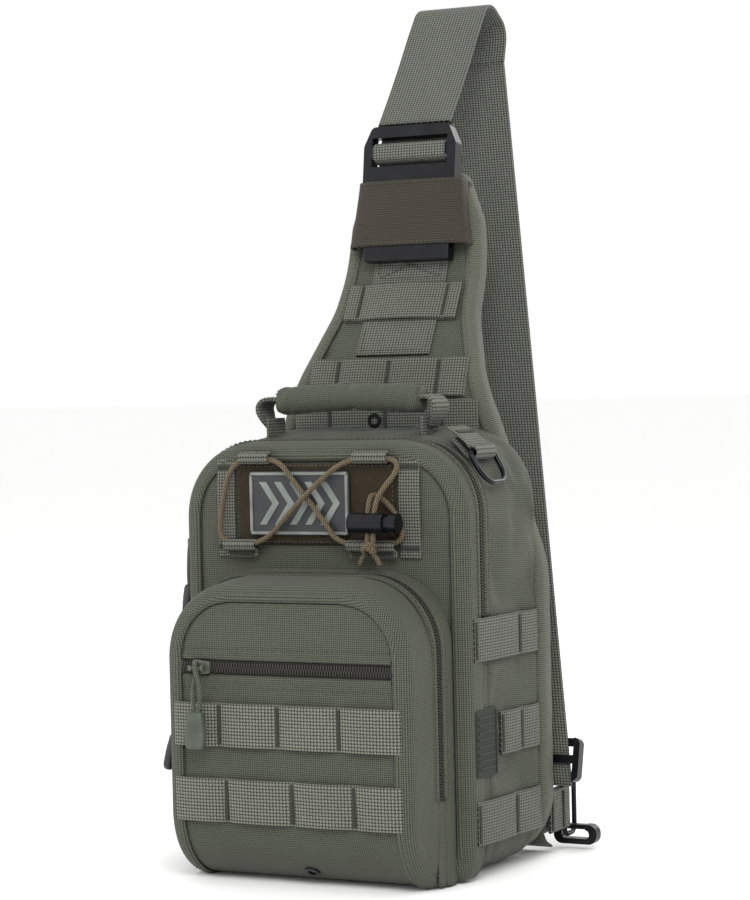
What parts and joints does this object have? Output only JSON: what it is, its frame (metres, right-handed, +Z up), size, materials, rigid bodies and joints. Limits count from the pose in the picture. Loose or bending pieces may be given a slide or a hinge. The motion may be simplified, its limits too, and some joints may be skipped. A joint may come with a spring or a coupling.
{
  "type": "sling bag",
  "caption": "Tactical-style sling bag with a zipped main compartment, zipped front pocket, webbing rows, carry handle, leaning shoulder pad, side-release buckle and one shoulder strap.",
  "frame": {"origin": "on the floor, under the middle of the main compartment", "axes": "+Z up, -Y towards the front pocket, +Y towards the wearer, +X to the right of someone facing the pocket"},
  "size_m": [0.2183, 0.2769, 0.5218],
  "materials": {
    "nylon_fabric": "1000-denier coated nylon, matt",
    "nylon_webbing": "ribbed nylon webbing",
    "binding_tape": "grosgrain binding tape",
    "air_mesh": "knitted spacer mesh",
    "foam": "closed-cell foam",
    "elastic": "woven elastic",
    "loop_fabric": "brushed loop fastener",
    "zip_coil": "nylon coil",
    "zip_metal": "enamelled zip slider",
    "pull_cord": "braided cord",
    "grip_rubber": "moulded grip",
    "patch_rubber": "moulded patch",
    "elastic_cord": "braided elastic cord",
    "black_plastic": "moulded acetal",
    "spring_steel": "coil spring",
    "black_metal": "black-coated wire",
    "label_rubber": "moulded label"
  },
  "bodies": {
    "root": {"back_cover": "nylon_fabric", "back_foam": "foam", "back_mesh": "air_mesh", "back_binding": "binding_tape", "pad_webbing": "nylon_webbing", "pad_eyelet": "black_metal", "elastic_sleeve": "elastic", "buckle_socket": "black_plastic", "shoulder_strap": "nylon_webbing", "strap_front_leg": "nylon_webbing", "strap_end_webbing": "nylon_webbing", "corner_tab": "nylon_webbing", "main_gusset_rear": "nylon_fabric", "main_front_panel": "nylon_fabric", "main_zip_rear": "zip_coil", "pocket_lower_panel": "nylon_fabric", "pocket_gusset_rear": "nylon_fabric", "pocket_zip_rear": "zip_coil", "drain_grommet": "black_metal", "front_webbing_lower": "nylon_webbing", "side_webbing": "nylon_webbing", "side_label": "label_rubber", "d_ring_tab": "nylon_webbing", "handle_anchors": "nylon_webbing"},
    "main_flap": {"main_flap_panel": "nylon_fabric", "main_gusset_front": "nylon_fabric", "main_zip_front": "zip_coil", "loop_panel": "loop_fabric", "patch": "patch_rubber", "lash_straps": "nylon_webbing", "cord_loops": "nylon_webbing", "shock_cord": "elastic_cord", "cord_lock_barrel": "black_plastic", "cord_lock_spring": "spring_steel"},
    "cord_lock_plunger": {"cord_lock_plunger": "black_plastic"},
    "pocket_flap": {"pocket_upper_panel": "nylon_fabric", "pocket_gusset_front": "nylon_fabric", "pocket_zip_front": "zip_coil", "slit_zip": "zip_coil", "slit_pocket_lining": "nylon_fabric", "front_webbing_upper": "nylon_webbing"},
    "main_slider": {"main_slider": "zip_metal"},
    "main_pull": {"main_pull_cord": "pull_cord", "main_pull_grip": "grip_rubber"},
    "pocket_slider": {"pocket_slider": "zip_metal"},
    "pocket_pull": {"pocket_pull_cord": "pull_cord", "pocket_pull_grip": "grip_rubber"},
    "slit_slider": {"slit_slider": "zip_metal"},
    "slit_pull": {"slit_pull_cord": "pull_cord", "slit_pull_grip": "grip_rubber"},
    "handle": {"handle_webbing": "nylon_webbing", "handle_grip": "nylon_fabric"},
    "d_ring": {"side_d_ring": "black_metal"},
    "buckle_plug": {"buckle_plug": "black_plastic"},
    "prong_right": {"buckle_prong_right": "black_plastic"},
    "prong_left": {"buckle_prong_left": "black_plastic"},
    "adjuster": {"strap_adjuster": "black_plastic"},
    "corner_ring": {"corner_ring": "black_metal"},
    "snap_hook": {"snap_hook": "black_plastic"},
    "hook_gate": {"snap_hook_gate": "black_plastic"}
  },
  "joints": [
    {"name": "main_flap_fold", "type": "hinge", "parent": "root", "child": "main_flap", "pos_m": [0, -0.046, 0.181], "axis": [1, 0, 0], "range_deg": [0, 33]},
    {"name": "cord_lock_press", "type": "slide", "parent": "main_flap", "child": "cord_lock_plunger", "axis": [-1, 0, 0], "range_m": [0, 0.003], "stiffness_N_per_m": 700, "springref_m": -0.002},
    {"name": "pocket_front_fold", "type": "hinge", "parent": "root", "child": "pocket_flap", "pos_m": [0, -0.095, 0.064], "axis": [1, 0, 0], "range_deg": [0, 80]},
    {"name": "main_zip_run", "type": "slide", "parent": "root", "child": "main_slider", "axis": [0, 0, 1], "range_m": [-0.032, 0.012]},
    {"name": "main_pull_swing", "type": "hinge", "parent": "main_slider", "child": "main_pull", "pos_m": [-0.099, -0.025, 0.19], "axis": [0, 1, 0], "range_deg": [0, 150]},
    {"name": "pocket_zip_run", "type": "slide", "parent": "root", "child": "pocket_slider", "axis": [0, 0, 1], "range_m": [-0.044, 0.02]},
    {"name": "pocket_pull_swing", "type": "hinge", "parent": "pocket_slider", "child": "pocket_pull", "pos_m": [-0.0862, -0.059, 0.104], "axis": [0, 1, 0], "range_deg": [-8, 140]},
    {"name": "slit_zip_run", "type": "slide", "parent": "pocket_flap", "child": "slit_slider", "axis": [1, 0, 0], "range_m": [0, 0.12]},
    {"name": "slit_pull_swing", "type": "hinge", "parent": "slit_slider", "child": "slit_pull", "pos_m": [-0.054, -0.0982, 0.124], "axis": [-1, 0, 0], "range_deg": [0, 120]},
    {"name": "handle_swing", "type": "hinge", "parent": "root", "child": "handle", "pos_m": [0, -0.005, 0.26], "axis": [1, 0, 0], "range_deg": [-50, 50]},
    {"name": "d_ring_swing", "type": "hinge", "parent": "root", "child": "d_ring", "pos_m": [0.0848, -0.007, 0.243], "axis": [0, -1, 0], "range_deg": [0, 120]},
    {"name": "buckle_release", "type": "slide", "parent": "root", "child": "buckle_plug", "axis": [0, 0.1344, 0.9909], "range_m": [0, 0.036], "deforming": ["strap_front_leg"]},
    {"name": "prong_squeeze", "type": "hinge", "parent": "buckle_plug", "child": "prong_right", "pos_m": [0.015, 0.08025, 0.40544], "axis": [0, 0.9909, -0.1344], "range_deg": [0, 6], "stiffness_Nm_per_rad": 0.4},
    {"name": "prong_squeeze_left", "type": "hinge", "parent": "buckle_plug", "child": "prong_left", "pos_m": [-0.015, 0.08025, 0.40544], "axis": [0, 0.9909, -0.1344], "range_deg": [-6, 0], "stiffness_Nm_per_rad": 0.4},
    {"name": "adjuster_slide", "type": "slide", "parent": "root", "child": "adjuster", "axis": [-0.1836, 0.2328, 0.9551], "range_m": [0, 0.12]},
    {"name": "corner_ring_swing", "type": "hinge", "parent": "root", "child": "corner_ring", "pos_m": [0.093, 0.082, 0.026], "axis": [0, 0, 1], "range_deg": [-25, 25]},
    {"name": "hook_swing", "type": "hinge", "parent": "corner_ring", "child": "snap_hook", "pos_m": [0.093, 0.0895, 0.0085], "axis": [0, -1, 0], "range_deg": [-4, 60]},
    {"name": "gate_press", "type": "hinge", "parent": "snap_hook", "child": "hook_gate", "pos_m": [0.0915, 0.0895, 0.0129], "axis": [0, 1, 0], "range_deg": [0, 18], "stiffness_Nm_per_rad": 0.05}
  ],
  "couplings": [
    {"joint": "prong_squeeze_left", "follows": "prong_squeeze", "ratio": -1}
  ]
}
